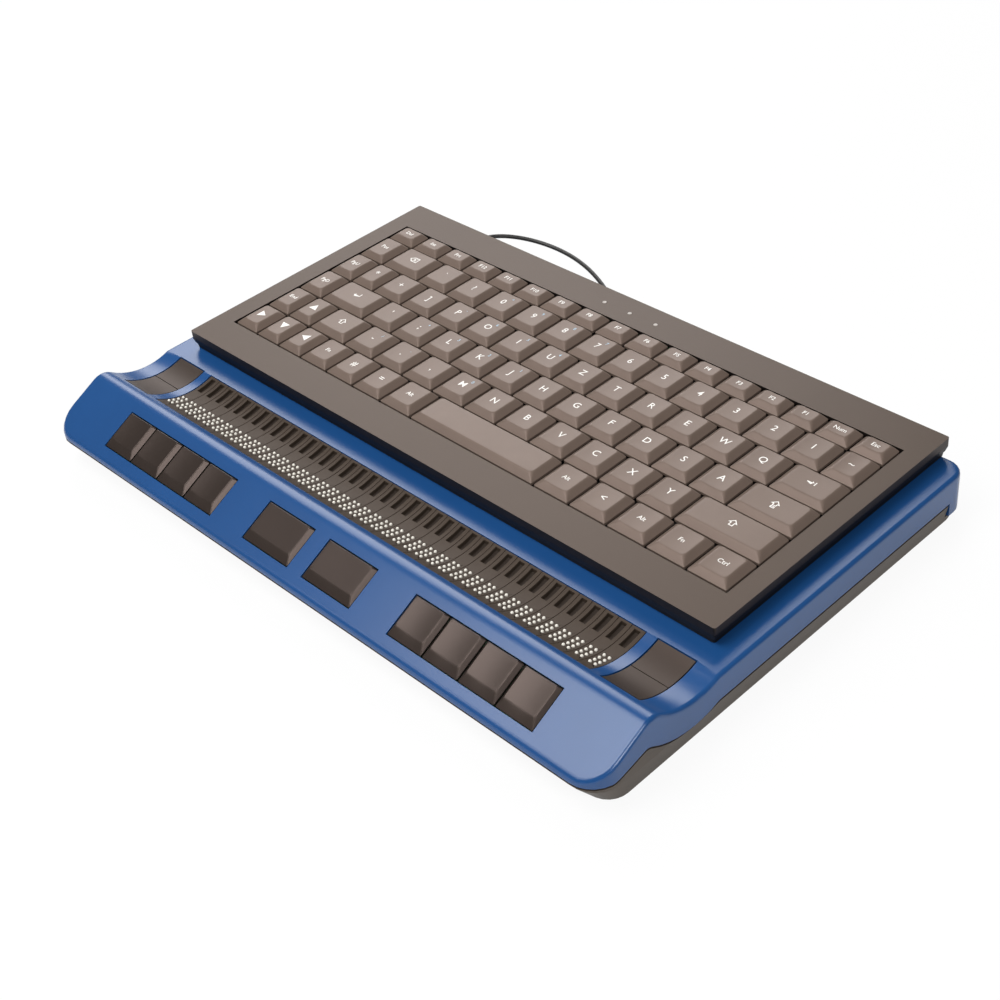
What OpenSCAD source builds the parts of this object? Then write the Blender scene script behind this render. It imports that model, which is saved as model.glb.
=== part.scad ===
/* [Housing] */
// Depth of the housing from front lip to rear wall
body_d = 213; // [206:1:240]
// Radius of the housing's front corners seen from above
corner_r = 12; // [8:1:16]
// Radius of the housing's rear corners seen from above
rear_r = 8; // [6:1:16]
// Radius of the rounded upper edge
edge_r = 1.7; // [1:0.1:2]
// Wall thickness of both shells
wall = 2.4; // [1.8:0.2:3]
// Height of the flat deck above the shell's underside
deck_h = 21.5; // [21:0.5:26]
// Height of the front lip above the shell's underside
lip_h = 14.6; // [14.4:0.1:16]
// Angle of the sloping front
slope_deg = 26.5; // [24:0.5:28]
// Radius of the rounded ridge behind the slope
ridge_r = 8; // [6:0.5:9]
// Distance from the front lip to the lowest line of the reading trough
trough_y = 52.65; // [52:0.05:54]
// Radius of the reading trough
trough_r = 31.8; // [30:0.2:34]
// Depth of the trough below the deck
trough_depth = 1.9; // [1.6:0.1:2.4]
// Width of the plain land outside each rocker key
side_land = 11; // [8:0.2:16]
// Thickness of the rubber feet
foot_h = 1; // [1:0.1:3]
// Radius of a rubber foot
foot_r = 7; // [5:0.5:9]

/* [Seam between the shells] */
// Height of the seam along the sides
seam_h = 10.2; // [9.8:0.1:10.6]
// Height of the seam at the front lip
seam_lip_h = 12.2; // [11.8:0.1:12.4]
// Width of the dark groove at the seam
seam_gap = 0.8; // [0.3:0.1:1]
// Distance from the rear wall where the seam steps down
rear_skirt = 11.4; // [9:0.1:14]
// Height of the seam behind that step
seam_rear_h = 4; // [3:0.1:5]
// How far the front of the lower shell draws in at its foot
undercut = 8.4; // [6:0.2:9]
// How far the sides of the lower shell draw in at their foot
draw_in = 1.9; // [0:0.1:3]
// Thickness of the lower shell's floor
floor_t = 2; // [1.6:0.2:3]

/* [Braille line] */
// Number of braille cells
cells = 40; // [20:1:44]
// Spacing from cell to cell
cell_pitch = 6.42; // [6.2:0.02:6.6]
// Front to back length of a cell
cell_d = 29.1; // [28:0.1:30]
// Distance from the front lip to the cells
cell_y = 34.45; // [34:0.05:35]
// Joint between neighbouring cells
cell_gap = 0.2; // [0.1:0.05:0.3]
// Spacing of the dots in a cell
dot_pitch = 2.5; // [2.3:0.05:2.6]
// Radius of a dot pin
pin_r = 0.65; // [0.5:0.05:0.75]
// Height of a raised dot
dot_h = 0.7; // [0.5:0.05:0.8]
// Distance from the front lip to the middle of the dots
dots_y = 42.75; // [42:0.05:44]
// Width of a routing key
routing_w = 2.2; // [1.8:0.1:2.6]
// Length of a routing key
routing_d = 8; // [6:0.5:9]

/* [Rocker keys] */
// Width of a rocker key
rocker_w = 17; // [14:0.5:20]
// Land between the cells and a rocker key
rocker_land = 5.8; // [5:0.2:8]
// Radius of the rocker's pivot
pivot_r = 1.2; // [1:0.1:1.5]

/* [Braille keys] */
// Width of a dot key with its share of the gap
dot_key_w = 18.75; // [17:0.25:19.5]
// Width of a space key with its share of the gap
space_key_w = 28.4; // [26:0.2:29]
// Length of a key along the slope
brl_key_d = 18.6; // [17.6:0.2:19]
// Distance along the slope from the lip to the key's middle
brl_key_at = 15.15; // [14.8:0.05:16]
// Middle of the space keys from the centre line
space_key_x = 18.4; // [18:0.1:20]
// Middle of a key group from the centre line
dot_group_x = 91; // [88:0.5:94]
// Height of a key above the slope
brl_key_h = 3.4; // [3:0.1:5]
// Travel of a braille key
brl_travel = 2.5; // [1.5:0.1:2.6]

/* [Keyboard] */
// Spacing of the keys from side to side
key_pitch = 19.05; // [18:0.05:19.1]
// Spacing of the key rows
row_pitch = 18.65; // [17.5:0.05:19]
// Depth of the function row
fn_pitch = 12.4; // [11:0.1:14]
// Border of the keyboard at the sides
kb_side = 9.4; // [8:0.2:11]
// Border in front of the keys
kb_front = 16.9; // [12:0.1:20]
// Border behind the keys
kb_rear = 17.8; // [15:0.1:20]
// How far the case stands to the right of the keys
kb_shift = -0.7; // [-1:0.1:1]
// How far the keyboard stands out behind the housing
kb_over = 1.2; // [0:0.1:3]
// Height of the keyboard's case
kb_h = 6.7; // [6.5:0.1:9]
// Height of the case's upper half
kb_frame_h = 3.5; // [3:0.1:4]
// Height of the pads under the keyboard
pad_h = 2.2; // [1.5:0.1:4]
// Height of a keycap
cap_h = 5; // [4.6:0.1:6]
// How far the keycaps start below the case's top
cap_sink = 1.4; // [1:0.1:1.5]
// Travel of a key
key_travel = 2.2; // [1.5:0.1:2.3]
// Gap between neighbouring keycaps
key_gap = 0.8; // [0.6:0.1:1]

/* [Lead] */
// Diameter of the keyboard's lead
cord_d = 2; // [1.8:0.1:2.2]

/* [Hidden] */
$fn = 32;
// Clearance round pieces that slide, and round pieces that only sit
slide_gap = 0.3;
seat_gap = 0.2;
pin_gap = 0.07;
pivot_gap = 0.05;
rocker_gap = 0.6;

// Overall places, measured from the middle of the footprint of housing and keyboard
front = -(body_d + kb_over) / 2;
rear = front + body_d;
row_w = cells * cell_pitch;
body_w = row_w + 2 * (rocker_land + rocker_w + side_land);
half_w = body_w / 2;
roof_t = wall * 1.12;

// Wave of the top and of the seam: lip height, slope, ridge radius, trough line,
// trough height, trough radius, height behind the trough
trough_low = deck_h - trough_depth;
top_wave = [lip_h, slope_deg, ridge_r, front + trough_y, trough_low, trough_r, deck_h];
seam_slope_deg = 14;
seam_slope_drop = 2.5;
seam_ridge_r = 4;
seam_trough_shift = 2.3;
seam_trough_depth = 2.2;
seam_trough_r = 38.5;
seam_trough_y = front + trough_y - seam_trough_shift;
seam_wave = [seam_lip_h - seam_slope_drop, seam_slope_deg, seam_ridge_r, seam_trough_y,
    seam_h - seam_trough_depth, seam_trough_r, seam_h];

function ridge_centre(w) =
    let (start = [front + w[2] * sin(w[1]), w[0] - w[2] * cos(w[1])])
    let (way = [cos(w[1]), sin(w[1])])
    let (q = start - [w[3], w[4] + w[5]])
    let (reach = w[5] + w[2])
    let (t = -q * way - sqrt(pow(q * way, 2) - q * q + reach * reach))
    start + t * way;
function ridge_start(w) = ridge_centre(w)[0] - w[2] * sin(w[1]);
function ridge_end(w) =
    let (c = ridge_centre(w))
    c[0] + (w[3] - c[0]) * w[2] / (w[2] + w[5]);
function trough_end(w) = w[3] + sqrt(pow(w[5], 2) - pow(w[4] + w[5] - w[6], 2));
function wave_z(w, y) =
    let (c = ridge_centre(w))
    y < ridge_start(w) ? w[0] + (y - front) * tan(w[1]) :
    y < ridge_end(w) ? c[1] + sqrt(w[2] * w[2] - pow(y - c[0], 2)) :
    y < trough_end(w) ? w[4] + w[5] - sqrt(w[5] * w[5] - pow(y - w[3], 2)) : w[6];
function steps(a, b, n) = [for (i = [0 : n]) a + (b - a) * i / n];
function wave_ys(w, ridge_n, trough_n) = concat(
    steps(ridge_start(w), ridge_end(w), ridge_n),
    [for (i = [1 : trough_n])
        ridge_end(w) + (trough_end(w) - ridge_end(w)) * i / trough_n]);

// Rings round the housing's outline, each a closed loop that rises and falls with a wave
top_ys = wave_ys(top_wave, 6, 12);
corner_n = 6;
function corner_points(r, inset, y, turn) = [for (i = [0 : corner_n])
    let (a = turn + 90 * i / corner_n)
    [half_w - r + (r - inset) * cos(a), y + (r - inset) * sin(a)]];
function half_outline(inset) = concat(
    corner_points(corner_r, inset, front + corner_r, -90),
    [for (y = top_ys) [half_w - inset, y]],
    corner_points(rear_r, inset, rear - rear_r, 0));
function both_sides(half) = concat(half,
    [for (i = [len(half) - 1 : -1 : 0]) [-half[i][0], half[i][1], half[i][2]]]);
function wave_ring(inset, drop) = both_sides(
    [for (p = half_outline(inset)) [p[0], p[1], wave_z(top_wave, p[1]) - drop]]);
function flat_ring(inset, z) = both_sides([for (p = half_outline(inset)) [p[0], p[1], z]]);

// Solid between stacked rings, closed by strips that run from side to side
module stacked(rings) {
    n = len(rings[0]);
    last = (len(rings) - 1) * n;
    polyhedron(
        points = [for (r = rings) for (p = r) p],
        faces = concat(
            [for (j = [0 : n / 2 - 2]) [j, j + 1, n - 2 - j, n - 1 - j]],
            [for (j = [0 : n / 2 - 2]) [last + n - 1 - j, last + n - 2 - j, last + j + 1, last + j]],
            [for (k = [0 : len(rings) - 2]) for (i = [0 : n - 1])
                [k * n + i, (k + 1) * n + i, (k + 1) * n + (i + 1) % n]],
            [for (k = [0 : len(rings) - 2]) for (i = [0 : n - 1])
                [k * n + i, (k + 1) * n + (i + 1) % n, k * n + (i + 1) % n]]));
}

edge_n = 4;
module outer_block() {
    stacked(concat([flat_ring(0, 0)],
        [for (i = [0 : edge_n])
            let (a = 90 * i / edge_n)
            wave_ring(edge_r * (1 - cos(a)), edge_r * (1 - sin(a)))]));
}
module inner_block() {
    stacked([flat_ring(wall, -1), wave_ring(wall, roof_t)]);
}

// Helpers for flat outlines
module along_x(w) {
    rotate([90, 0, 90])
        linear_extrude(w, center = true)
            children();
}
module rounded_rect(w, d, r) {
    square([w - 2 * r, d], center = true);
    square([w, d - 2 * r], center = true);
    for (x = [-1, 1], y = [-1, 1])
        translate([x * (w / 2 - r), y * (d / 2 - r)])
            circle(r);
}
module mirrored() {
    children();
    mirror([1, 0, 0])
        children();
}

// All that lies below the seam, as seen from the side
skirt_y = rear - rear_skirt;
seam_rise_y = front + seam_slope_drop / tan(seam_slope_deg);
function below_seam(drop) = concat(
    [[front - 1, -1], [front - 1, seam_lip_h - drop], [seam_rise_y, seam_lip_h - drop]],
    [for (y = wave_ys(seam_wave, 4, 8)) [y, wave_z(seam_wave, y) - drop]],
    [[skirt_y - drop, seam_h - drop], [skirt_y - drop, seam_rear_h - drop]],
    [[rear + 1, seam_rear_h - drop], [rear + 1, -1]]);

// Screws that hold the shells together
screw_r = 1.25;
screw_head_r = 2.8;
screw_head_h = 1.6;
screw_boss_r = 3.6;
screw_seat_h = 4;
screw_grip = 5;
screw_bore = 7;
screw_in = 15;
screw_front = 14;
screw_mid = 86;
screw_rear = 20;
screw_x = half_w - screw_in;
screw_places = [[screw_x, front + screw_front], [screw_x, front + screw_mid], [screw_x, rear - screw_rear]];
module at_screws() {
    mirrored()
        for (p = screw_places)
            translate([p[0], p[1], 0])
                children();
}

// Slots for the braille line and the rocker keys
cell_front = front + cell_y;
cell_rear = cell_front + cell_d;
cell_sink = 0.15;
rocker_x = row_w / 2 + rocker_land + rocker_w / 2;
cell_mid = (cell_front + cell_rear) / 2;
cut_h = 60;
module line_slot(w, gap) {
    translate([-w / 2 - gap, cell_front - gap, screw_seat_h])
        cube([w + 2 * gap, cell_d + 2 * gap, cut_h]);
}

// Frame of the braille keys: origin at the key's middle on the slope, Z square to the slope
brl_sink = 1;
module on_slope() {
    translate([0, front + brl_key_at * cos(slope_deg), lip_h + brl_key_at * sin(slope_deg)])
        rotate([slope_deg, 0, 0])
            children();
}
well_depth = 6;
module key_well(x, w) {
    on_slope()
        translate([x - w / 2, -brl_key_d / 2, -well_depth])
            cube([w, brl_key_d, 2 * well_depth]);
}
brl_key_xs = concat(
    [for (i = [0 : 3]) -dot_group_x + (i - 1.5) * dot_key_w],
    [for (i = [0 : 3]) dot_group_x + (i - 1.5) * dot_key_w]);

// Ports in the rear wall
port_w = 12.4;
port_h = 4.9;
port_t = 0.6;
port_d = 14;
port_z = 11;
lead_port_x = -14;
usb_port_x = 60;
board_top = port_z - port_h / 2 - port_t;
port_rim = port_t + seat_gap;
module port_cut(x) {
    translate([x, rear, port_z])
        cube([port_w + 2 * port_rim, 4 * wall, port_h + 2 * port_rim], center = true);
}

module upper_shell() {
    color("#2c5ea8")
        translate([0, 0, foot_h]) {
            difference() {
                outer_block();
                along_x(body_w + 2)
                    polygon(below_seam(0));
                difference() {
                    inner_block();
                    at_screws()
                        translate([0, 0, screw_seat_h])
                            cylinder(r = screw_boss_r, h = cut_h);
                }
                at_screws()
                    cylinder(r = screw_r + pivot_gap, h = screw_seat_h + screw_bore);
                line_slot(row_w, slide_gap);
                mirrored()
                    translate([rocker_x, 0, 0])
                        line_slot(rocker_w, rocker_gap);
                mirrored() {
                    key_well(dot_group_x, 4 * dot_key_w);
                    key_well(space_key_x, space_key_w);
                }
                port_cut(lead_port_x);
                port_cut(usb_port_x);
            }
        }
}

// Lower shell: a tub that draws in towards its foot, with a tongue that meets the upper shell
tub_foot_r = 9;
function tub_corner(r, inset, side_in, y, turn, z0, z1) = [for (i = [0 : corner_n])
    let (a = turn + 90 * i / corner_n)
    [half_w - side_in - r + (r - inset) * cos(a), y + (r - inset) * sin(a), z0 + (z1 - z0) * i / corner_n]];
function tub_ring(r, inset, side_in, front_in, front_z, side_z) = both_sides(concat(
    tub_corner(r, inset, side_in, front + front_in + r, -90, front_z, side_z),
    tub_corner(rear_r, inset, side_in, rear - side_in - rear_r, 0, side_z, side_z)));
module tub_block(inset, low) {
    stacked([
        tub_ring(tub_foot_r, inset, draw_in, undercut, low, low),
        tub_ring(corner_r, inset, 0, 0, seam_lip_h - seam_gap, seam_h - seam_gap),
        tub_ring(corner_r, inset, 0, 0, deck_h, deck_h)]);
}
brl_board_t = 1.6;
brl_board_drop = 7;
rib_t = 2;
rib_reach = 7;
rib_off = 24;
rib_xs = [-dot_group_x, -space_key_x - rib_off, 0, space_key_x + rib_off, dot_group_x];
function slope_point(y, z) = [
    front + (brl_key_at + y) * cos(slope_deg) - z * sin(slope_deg),
    lip_h + (brl_key_at + y) * sin(slope_deg) + z * cos(slope_deg)];
rib_a = slope_point(-rib_reach, -brl_board_drop - brl_board_t);
rib_b = slope_point(rib_reach, -brl_board_drop - brl_board_t);
post_r = 3;
backplane_t = 1.6;
cell_seat_h = 12.6;
reed_d = 58;
post_in = 5;
line_post_ys = [cell_front + post_in, cell_rear + post_in, cell_rear + reed_d - post_in];
line_post_xs = [-0.45, -0.15, 0.15, 0.45];
board_t = 1.6;
board_gap = 6;
board_x0 = -34;
board_x1 = 136;
board_y0 = cell_rear + reed_d + board_gap;
board_y1 = rear - 2 * wall;
board_post_y = board_y1 - 24;
board_post_xs = [board_x0 + post_in, board_x1 - post_in];
board_post_ys = [board_y0 + post_in, board_post_y];
board_posts = [for (x = board_post_xs, y = board_post_ys) [x, y]];
module lower_shell() {
    color("#57504a")
        translate([0, 0, foot_h])
            difference() {
                union() {
                    difference() {
                        union() {
                            intersection() {
                                tub_block(0, 0);
                                along_x(body_w + 2)
                                    polygon(below_seam(seam_gap));
                            }
                            intersection() {
                                tub_block(wall / 2, 0);
                                along_x(body_w + 2)
                                    polygon(below_seam(0));
                            }
                        }
                        tub_block(wall, floor_t);
                    }
                    at_screws()
                        cylinder(r = screw_boss_r, h = screw_seat_h);
                    for (x = rib_xs)
                        translate([x, 0, 0])
                            along_x(rib_t)
                                polygon([[rib_a[0], floor_t / 2], rib_a, rib_b, [rib_b[0], floor_t / 2]]);
                    for (x = line_post_xs, y = line_post_ys)
                        translate([x * row_w, y, floor_t / 2])
                            cylinder(r = post_r, h = cell_seat_h - backplane_t - floor_t / 2);
                    for (p = board_posts)
                        translate([p[0], p[1], floor_t / 2])
                            cylinder(r = post_r, h = board_top - board_t - floor_t / 2);
                }
                at_screws() {
                    cylinder(r = screw_r + slide_gap, h = cut_h);
                    translate([0, 0, -1])
                        cylinder(r = screw_head_r + slide_gap, h = screw_head_h + 1 + slide_gap);
                }
            }
}

module case_screws() {
    color("silver")
        translate([0, 0, foot_h + slide_gap])
            at_screws() {
                cylinder(r = screw_head_r, h = screw_head_h);
                cylinder(r = screw_r, h = screw_seat_h + screw_grip);
            }
}

foot_in = 22;
foot_front = 26;
foot_rear = 40;
foot_places = [[half_w - foot_in, front + foot_front], [half_w - foot_in, rear - foot_rear]];
module rubber_feet() {
    color("#1c1c1c")
        mirrored()
            for (p = foot_places)
                translate([p[0], p[1], 0])
                    cylinder(r = foot_r, h = foot_h);
}

// Chips on the main board: place from the board's front left corner, width and depth
chip_t = 1.8;
chips = [[54, 20, 18, 18], [90, 22, 14, 10], [122, 14, 22, 12]];
module main_board() {
    color("darkgreen")
        translate([board_x0, board_y0, foot_h + board_top - board_t]) {
            cube([board_x1 - board_x0, board_y1 - board_y0, board_t]);
            for (c = chips)
                translate([c[0], c[1], board_t])
                    cube([c[2], c[3], chip_t]);
        }
}

battery_w = 92;
battery_d = 56;
battery_h = 12;
battery_r = 4;
module battery_pack() {
    color("#3a3f4a")
        translate([board_x0 - battery_w / 2 - board_gap, board_y0 + battery_d / 2, foot_h + floor_t])
            linear_extrude(battery_h)
                rounded_rect(battery_w, battery_d, battery_r);
}

backplane_over = 2;
module cell_backplane() {
    color("darkgreen")
        translate([-row_w / 2, cell_front, foot_h + cell_seat_h - backplane_t])
            cube([row_w, cell_d + reed_d + backplane_over, backplane_t]);
}

// Braille cells: blocks with a hollowed top, eight pin bores and a slot for the routing key
dots_mid = front + dots_y;
dots_z = wave_z(top_wave, dots_mid) - cell_sink;
dot_tilt = asin((trough_y - dots_y) / trough_r);
routing_rim = 1.2;
routing_slot_y = cell_rear - routing_d / 2 - routing_rim;
module at_cells() {
    for (i = [0 : cells - 1])
        translate([(i - (cells - 1) / 2) * cell_pitch, 0, 0])
            children();
}
module on_dots() {
    translate([0, dots_mid, dots_z])
        rotate([-dot_tilt, 0, 0])
            children();
}
function arc_outline(y0, y1, sink, low) = concat(
    [[y0, low], [y1, low]],
    [for (y = steps(y1, y0, 14)) [y, wave_z(top_wave, y) - sink]]);
module braille_cells() {
    color("#4a443f")
        translate([0, 0, foot_h])
            at_cells()
                difference() {
                    along_x(cell_pitch - cell_gap)
                        polygon(arc_outline(cell_front, cell_rear, cell_sink, cell_seat_h));
                    on_dots()
                        for (x = [-0.5, 0.5], y = [-1.5 : 1.5])
                            translate([x * dot_pitch, y * dot_pitch, -cut_h / 2])
                                cylinder(r = pin_r + pin_gap, h = cut_h);
                    translate([-routing_w / 2 - slide_gap, routing_slot_y - routing_d / 2 - slide_gap, 0])
                        cube([routing_w + 2 * slide_gap, routing_d + 2 * slide_gap, cut_h]);
                }
}

// Dot pins, numbered as in braille: 1 2 3 7 in the left column and 4 5 6 8 in the right
pin_len = 5;
dot_columns = [-0.5, -0.5, -0.5, 0.5, 0.5, 0.5, -0.5, 0.5];
dot_rows = [1.5, 0.5, -0.5, 1.5, 0.5, -0.5, -1.5, -1.5];
module dot_pins(number) {
    y = dot_rows[number - 1] * dot_pitch;
    rise = y * y / (2 * trough_r);
    color("ivory")
        translate([0, 0, foot_h])
            at_cells()
                on_dots()
                    translate([dot_columns[number - 1] * dot_pitch, y, rise + dot_h - pin_r]) {
                        translate([0, 0, -pin_len])
                            cylinder(r = pin_r, h = pin_len);
                        sphere(r = pin_r);
                    }
}

routing_travel = 0.8;
routing_sink = 0.35;
module routing_keys() {
    color("#26221f")
        translate([0, 0, foot_h])
            at_cells()
                along_x(routing_w)
                    polygon(arc_outline(
                        routing_slot_y - routing_d / 2, routing_slot_y + routing_d / 2,
                        routing_sink, cell_seat_h + routing_travel + slide_gap));
}

// Piezo reeds: four thin strips clamped in a block behind each cell
reed_t = 0.5;
reed_gap = 1;
reed_step = 1.4;
reed_clamp_d = 6;
module piezo_reeds() {
    color("peru")
        translate([0, 0, foot_h + cell_seat_h])
            at_cells()
                translate([0, cell_rear + seat_gap, 0])
                    along_x(cell_pitch - reed_gap) {
                        translate([reed_d - reed_clamp_d, 0])
                            square([reed_clamp_d, 4 * reed_step]);
                        for (i = [0 : 3])
                            translate([0, reed_t + i * reed_step])
                                square([reed_d, reed_t]);
                    }
}

// Rocker keys, hollowed like the trough, each on a pivot held by two brackets
bracket_t = 3;
bracket_d = 8;
bracket_top = trough_low - roof_t - seat_gap;
pivot_drop = 2.2;
pivot_z = bracket_top - pivot_drop;
rocker_t = 3;
groove = 0.4;
stub = bracket_t + slide_gap;
module rocker(side) {
    color("#5b524b")
        translate([side * rocker_x, 0, foot_h])
            difference() {
                union() {
                    along_x(rocker_w)
                        polygon(concat(
                            [for (y = steps(cell_front, cell_rear, 14)) [y, wave_z(top_wave, y) - cell_sink]],
                            [for (y = steps(cell_rear, cell_front, 8)) [y, wave_z(top_wave, y) - rocker_t]]));
                    translate([0, cell_mid, pivot_z])
                        rotate([0, 90, 0]) {
                            cylinder(r = pivot_r, h = rocker_w + 2 * stub, center = true);
                            cylinder(r = 2 * pivot_r, h = rocker_w, center = true);
                        }
                    translate([-rocker_w / 2, cell_mid - pivot_r, pivot_z])
                        cube([rocker_w, 2 * pivot_r, trough_low - pivot_z - rocker_t / 2]);
                }
                translate([-rocker_w, cell_mid - groove / 2, trough_low - groove])
                    cube([2 * rocker_w, groove, cut_h]);
            }
}
module rocker_brackets() {
    color("#8a8f94")
        translate([0, 0, foot_h])
            mirrored()
                for (side = [-1, 1])
                    translate([rocker_x + side * (rocker_w / 2 + slide_gap + bracket_t / 2), cell_mid, 0])
                        difference() {
                            translate([-bracket_t / 2, -bracket_d / 2, floor_t])
                                cube([bracket_t, bracket_d, bracket_top - floor_t]);
                            translate([0, 0, pivot_z])
                                rotate([0, 90, 0])
                                    cylinder(r = pivot_r + pivot_gap, h = 2 * bracket_t, center = true);
                        }
}

// Keycap: a tapered block with a shallow dish and a blind bore that slides over its guide post
// A taper tells how far the sides, the front and the back lean in
key_taper = [2.2, 3, 1.4];
brl_taper = [1.2, 2.8, 0.8];
dish_r = 45;
dish = 0.5;
guide_r = 2.5;
guide_in = 0.3;
module keycap(w, d, h, taper, travel, dished) {
    difference() {
        intersection() {
            rotate([90, 0, 0])
                linear_extrude(d + 2, center = true)
                    polygon([[-w / 2, 0], [w / 2, 0], [w / 2 - taper[0], h], [taper[0] - w / 2, h]]);
            along_x(w + 2)
                polygon([[-d / 2, 0], [d / 2, 0], [d / 2 - taper[2], h], [taper[1] - d / 2, h]]);
        }
        if (dished)
            translate([0, 0, h + dish_r - dish])
                rotate([90, 0, 0])
                    cylinder(r = dish_r, h = 2 * d, center = true, $fn = 96);
        translate([0, 0, -1])
            cylinder(r = guide_r + slide_gap, h = 1 + guide_in + travel + slide_gap);
    }
}

// Braille keys on the slope, with a switch under each
dot_key_numbers = [7, 3, 2, 1, 4, 5, 6, 8];
module brl_cap(x, w) {
    color("#4b443e")
        translate([0, 0, foot_h])
            on_slope()
                translate([x, 0, -brl_sink])
                    keycap(w - key_gap, brl_key_d - key_gap, brl_sink + brl_key_h,
                        brl_taper, brl_travel, true);
}
module braille_key(number) {
    at = search(number, dot_key_numbers)[0];
    brl_cap(brl_key_xs[at], dot_key_w);
}
module space_key(side) {
    brl_cap(side * space_key_x, space_key_w);
}
brl_board_over = 4;
brl_board_w = 2 * dot_group_x + 4 * dot_key_w + brl_board_over;
module key_contact_board() {
    color("darkgreen")
        translate([0, 0, foot_h])
            on_slope()
                translate([-brl_board_w / 2, -brl_key_d / 2, -brl_board_drop - brl_board_t])
                    cube([brl_board_w, brl_key_d, brl_board_t]);
}
switch_w = 10;
module key_switches() {
    color("#d8d4c8")
        translate([0, 0, foot_h])
            on_slope()
                for (x = concat(brl_key_xs, [-space_key_x, space_key_x]))
                    translate([x, 0, -brl_board_drop]) {
                        translate([-switch_w / 2, -switch_w / 2, 0])
                            cube([switch_w, switch_w, brl_board_drop - brl_sink - brl_travel - slide_gap]);
                        cylinder(r = guide_r, h = brl_board_drop - brl_sink + guide_in);
                    }
}

// Sockets in the rear wall: folded metal boxes that stand on the main board
port_back = 2;
module port_shell(x) {
    color("silver")
        translate([x, rear - seat_gap, foot_h + port_z])
            difference() {
                translate([-port_w / 2 - port_t, -port_d, -port_h / 2 - port_t])
                    cube([port_w + 2 * port_t, port_d, port_h + 2 * port_t]);
                translate([-port_w / 2, -port_d + port_back, -port_h / 2])
                    cube([port_w, port_d, port_h]);
            }
}
module usb_socket() {
    port_shell(usb_port_x);
}
module keyboard_socket() {
    port_shell(lead_port_x);
}

// Keyboard case, standing on pads on the deck
key_units = 15;
kb_gap = 0.5;
kb_corner_r = 1;
kb_well_w = key_units * key_pitch + 2 * kb_gap;
kb_well_d = 5 * row_pitch + fn_pitch + 2 * kb_gap;
kb_w = kb_well_w + 2 * kb_side;
kb_d = kb_well_d + kb_front + kb_rear;
kb_y1 = rear + kb_over;
kb_y0 = kb_y1 - kb_d;
kb_mid = (kb_y0 + kb_y1) / 2;
kb_well_y = kb_y0 + kb_front;
kb_well_mid = kb_well_y + kb_well_d / 2;
kb_z = foot_h + deck_h + pad_h;
kb_top = kb_z + kb_h;
kb_skin = 1.6;
kb_wall = 2;
kb_floor = 1.2;
kb_draft = 1;
lens_r = 0.9;
lens_xs = [-20.5, -5.5, 9.5];
lens_back = 9.9;
lens_y = kb_y1 - lens_back;
module keyboard_frame() {
    color("#4a433d")
        translate([0, 0, kb_top - kb_frame_h])
            difference() {
                translate([kb_shift, kb_mid, 0])
                    linear_extrude(kb_frame_h)
                        rounded_rect(kb_w, kb_d, kb_corner_r);
                translate([kb_shift, kb_mid, -1])
                    linear_extrude(kb_frame_h - kb_skin + 1)
                        square([kb_w - 2 * kb_wall, kb_d - 2 * kb_wall], center = true);
                translate([0, kb_well_mid, -1])
                    linear_extrude(kb_frame_h + 2)
                        square([kb_well_w, kb_well_d], center = true);
                for (x = lens_xs)
                    translate([x, lens_y, 0])
                        cylinder(r = lens_r + pin_gap, h = 2 * kb_frame_h);
            }
}
kb_inset = kb_draft + kb_wall / 2;
relief_r = 1.25;
relief_up = 1.6;
lead_x = -111.6;
function drawn_in(w, h) =
    [[kb_draft - w / 2, 0], [w / 2 - kb_draft, 0], [w / 2, h], [-w / 2, h]];
module keyboard_base() {
    h = kb_h - kb_frame_h;
    color("#2b2724")
        translate([kb_shift, kb_mid, kb_z])
            difference() {
                intersection() {
                    rotate([90, 0, 0])
                        linear_extrude(kb_d + 2, center = true)
                            polygon(drawn_in(kb_w, h));
                    along_x(kb_w + 2)
                        polygon(drawn_in(kb_d, h));
                    linear_extrude(h)
                        rounded_rect(kb_w, kb_d, kb_corner_r);
                }
                translate([0, 0, kb_floor])
                    linear_extrude(h)
                        square([kb_w - 2 * kb_inset, kb_d - 2 * kb_inset], center = true);
                translate([lead_x - kb_shift, kb_d / 2 - kb_inset - 1, relief_up])
                    rotate([-90, 0, 0])
                        cylinder(r = relief_r + pin_gap, h = 2 * kb_inset);
            }
}
plate_t = 0.8;
sheet_t = 0.6;
plate_rim = 2;
plate_z = kb_z + kb_floor;
module keyboard_plate() {
    color("silver")
        translate([0, kb_well_mid, plate_z])
            linear_extrude(plate_t)
                square([kb_well_w + 2 * plate_rim, kb_well_d + 2 * plate_rim], center = true);
}

// Key widths in units, from left to right, in rows from front to rear
function ones(n) = [for (i = [1 : n]) 1];
fn_keys = 17;
key_rows = [
    [0.8, 0.8, 0.8, 0.92, 0.92, 0.92, 1, 3.74, 1, 1.025, 1.025, 1.025, 1.025],
    concat([0.78, 0.8, 1.23], ones(10), [2.19]),
    concat([0.84, 1.5], ones(11), [1.66]),
    concat([0.82, 0.78, 1], ones(11), [1.4]),
    concat([0.86, 1.26], ones(12), [0.88]),
    [for (i = [1 : fn_keys]) key_units / fn_keys]
];
number_row = 4;
fn_row = len(key_rows) - 1;
space_at = [0, 7];
narrow_shift_at = [1, 2];
wide_shift_at = [1, 13];
enter_at = [2, 1];
caps_at = [2, 13];
tab_at = [3, 14];
backspace_at = [number_row, 1];
single_keys = [space_at, narrow_shift_at, wide_shift_at, enter_at, caps_at, tab_at, backspace_at];
function before(v, i) = i <= 0 ? 0 : v[i - 1] + before(v, i - 1);
function key_units_at(at) = key_rows[at[0]][at[1]];
function key_x(at) =
    kb_gap - kb_well_w / 2 + key_pitch * (before(key_rows[at[0]], at[1]) + key_units_at(at) / 2);
function row_depth(r) = r == fn_row ? fn_pitch : row_pitch;
function key_y(at) = kb_well_y + kb_gap + at[0] * row_pitch + row_depth(at[0]) / 2;
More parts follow.
